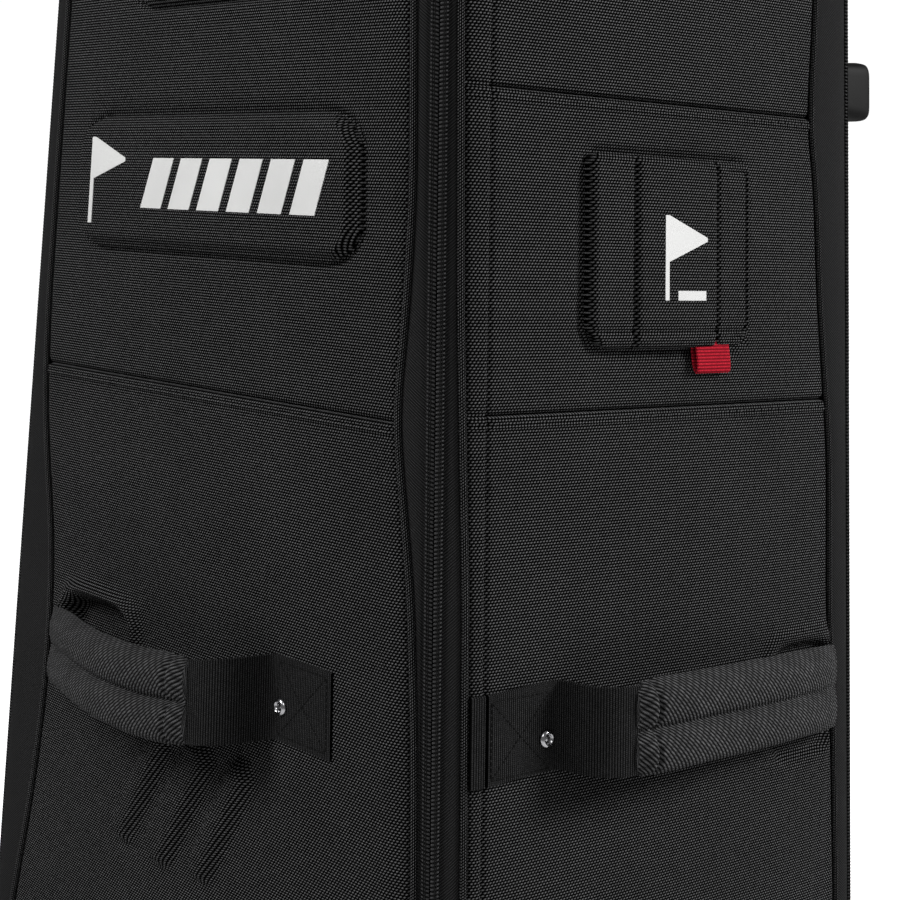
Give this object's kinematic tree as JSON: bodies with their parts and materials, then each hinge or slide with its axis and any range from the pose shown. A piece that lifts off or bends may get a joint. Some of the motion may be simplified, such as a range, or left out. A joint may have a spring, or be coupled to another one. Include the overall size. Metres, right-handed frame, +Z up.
{
  "type": "golf travel case",
  "caption": "Upright padded golf travel case with wheels, a zipped front lid, side pockets, carry handles, a tow handle and a label flap.",
  "frame": {"origin": "middle of the base tub's flat underside, on the floor", "axes": "+Z up along the case, +Y towards the wheels and tow handle, -Y out of the front lid, +X the wearer's right seen from behind"},
  "size_m": [0.5302, 0.4356, 1.3],
  "materials": {
    "shell_fabric": "coarse black basket-weave nylon with a low sheen",
    "zip_tape": "woven black zip tape with moulded coil teeth",
    "webbing": "ribbed black webbing",
    "grip_fabric": "padded black twill",
    "lining": "grey brushed lining",
    "moulded": "satin black moulded plastic",
    "rubber": "matt black rubber",
    "steel": "bright plated steel",
    "gunmetal": "black lacquered metal",
    "red_ribbon": "red ribbed ribbon",
    "clear_window": "clear soft vinyl"
  },
  "bodies": {
    "case": {"base_tub": "moulded", "base_pad": "lining", "base_band": "shell_fabric", "wheel_axle_right": "steel", "wheel_axle_left": "steel", "back_panel": "shell_fabric", "inner_wall_right": "lining", "inner_wall_left": "lining", "hood_shell": "shell_fabric", "hood_foam": "lining", "main_zip_body_half": "zip_tape", "pocket_zip_body_right": "zip_tape", "pocket_zip_body_left": "zip_tape", "zip_foot_main_right": "zip_tape", "zip_foot_main_left": "zip_tape", "zip_foot_pocket_right": "zip_tape", "zip_foot_pocket_left": "zip_tape", "back_bumper_right": "moulded", "back_bumper_left": "moulded", "tow_bracket": "moulded"},
    "lid": {"front_panel": "shell_fabric", "front_badge": "shell_fabric", "main_zip_lid_half": "zip_tape", "front_handle_patch": "webbing", "front_handle_end": "webbing", "front_handle_rivet": "steel"},
    "cover_right": {"side_cover_right": "shell_fabric", "pocket_zip_cover_right": "zip_tape", "right_handle_patch": "webbing", "right_handle_end": "webbing", "right_handle_rivet": "steel", "label_window": "clear_window"},
    "cover_left": {"side_cover_left": "shell_fabric", "pocket_zip_cover_left": "zip_tape", "left_handle_patch": "webbing", "left_handle_end": "webbing", "left_handle_rivet": "steel"},
    "label": {"label_flap": "shell_fabric", "pull_tab": "red_ribbon"},
    "tow_handle": {"tow_bail": "moulded", "tow_grip": "rubber"},
    "handle_front": {"front_handle_loop": "webbing", "front_handle_grip": "grip_fabric"},
    "handle_right": {"right_handle_loop": "webbing", "right_handle_grip": "grip_fabric"},
    "handle_left": {"left_handle_loop": "webbing", "left_handle_grip": "grip_fabric"},
    "slider_main_right": {"slider_main_right": "gunmetal"},
    "pull_main_right": {"zip_pull_main_right": "gunmetal"},
    "slider_main_left": {"slider_main_left": "gunmetal"},
    "pull_main_left": {"zip_pull_main_left": "gunmetal"},
    "slider_pocket_right": {"slider_pocket_right": "gunmetal"},
    "pull_pocket_right": {"zip_pull_pocket_right": "gunmetal"},
    "slider_pocket_left": {"slider_pocket_left": "gunmetal"},
    "pull_pocket_left": {"zip_pull_pocket_left": "gunmetal"},
    "wheel_right": {"wheel_tyre_right": "rubber", "wheel_hub_right": "moulded"},
    "wheel_left": {"wheel_tyre_left": "rubber", "wheel_hub_left": "moulded"}
  },
  "joints": [
    {"name": "lid_hinge", "type": "hinge", "parent": "case", "child": "lid", "pos_m": [0, -0.18047, 0.25], "axis": [1, 0, 0], "range_deg": [0, 90]},
    {"name": "cover_right_hinge", "type": "hinge", "parent": "case", "child": "cover_right", "pos_m": [0.20588, -0.13789, 0.726], "axis": [0.0718, -0.0219, -0.9972], "range_deg": [0, 30]},
    {"name": "cover_left_hinge", "type": "hinge", "parent": "case", "child": "cover_left", "pos_m": [-0.20588, -0.13789, 0.726], "axis": [0.0718, 0.0219, 0.9972], "range_deg": [0, 30]},
    {"name": "label_flap_hinge", "type": "hinge", "parent": "cover_right", "child": "label", "pos_m": [0.20575, -0.009, 0.86], "axis": [0, -1, 0], "range_deg": [0, 150]},
    {"name": "front_handle_swing", "type": "hinge", "parent": "lid", "child": "handle_front", "pos_m": [0, -0.17343, 0.57], "axis": [-1, 0, 0], "range_deg": [0, 25]},
    {"name": "right_handle_swing", "type": "hinge", "parent": "cover_right", "child": "handle_right", "pos_m": [0.21723, 0, 0.57], "axis": [0, -1, 0], "range_deg": [0, 25]},
    {"name": "left_handle_swing", "type": "hinge", "parent": "cover_left", "child": "handle_left", "pos_m": [-0.21723, 0, 0.57], "axis": [0, 1, 0], "range_deg": [0, 25]},
    {"name": "tow_handle_swing", "type": "hinge", "parent": "case", "child": "tow_handle", "pos_m": [0, 0.18033, 1.14], "axis": [1, 0, 0], "range_deg": [0, 110]},
    {"name": "slider_main_right_slide", "type": "slide", "parent": "case", "child": "slider_main_right", "axis": [-0.0718, 0.0219, 0.9972], "range_m": [0, 0.88]},
    {"name": "slider_main_left_slide", "type": "slide", "parent": "case", "child": "slider_main_left", "axis": [0.0718, 0.0219, 0.9972], "range_m": [0, 0.88]},
    {"name": "slider_pocket_right_slide", "type": "slide", "parent": "case", "child": "slider_pocket_right", "axis": [-0.0718, -0.0219, 0.9972], "range_m": [0, 0.92]},
    {"name": "slider_pocket_left_slide", "type": "slide", "parent": "case", "child": "slider_pocket_left", "axis": [0.0718, -0.0219, 0.9972], "range_m": [0, 0.92]},
    {"name": "pull_main_right_swing", "type": "hinge", "parent": "slider_main_right", "child": "pull_main_right", "pos_m": [0.23576, -0.17463, 0.2233], "axis": [-0.7071, -0.7071, 0], "range_deg": [0, 165]},
    {"name": "pull_main_left_swing", "type": "hinge", "parent": "slider_main_left", "child": "pull_main_left", "pos_m": [-0.23576, -0.17463, 0.2233], "axis": [-0.7071, 0.7071, 0], "range_deg": [0, 165]},
    {"name": "pull_pocket_right_swing", "type": "hinge", "parent": "slider_pocket_right", "child": "pull_pocket_right", "pos_m": [0.23576, 0.17463, 0.2233], "axis": [0.7071, -0.7071, 0], "range_deg": [0, 165]},
    {"name": "pull_pocket_left_swing", "type": "hinge", "parent": "slider_pocket_left", "child": "pull_pocket_left", "pos_m": [-0.23576, 0.17463, 0.2233], "axis": [0.7071, 0.7071, 0], "range_deg": [0, 165]},
    {"name": "wheel_right_spin", "type": "hinge", "parent": "case", "child": "wheel_right", "pos_m": [0.16, 0.15257, 0.041], "axis": [1, 0, 0], "continuous": true},
    {"name": "wheel_left_spin", "type": "hinge", "parent": "case", "child": "wheel_left", "pos_m": [-0.16, 0.15257, 0.041], "axis": [1, 0, 0], "continuous": true}
  ]
}
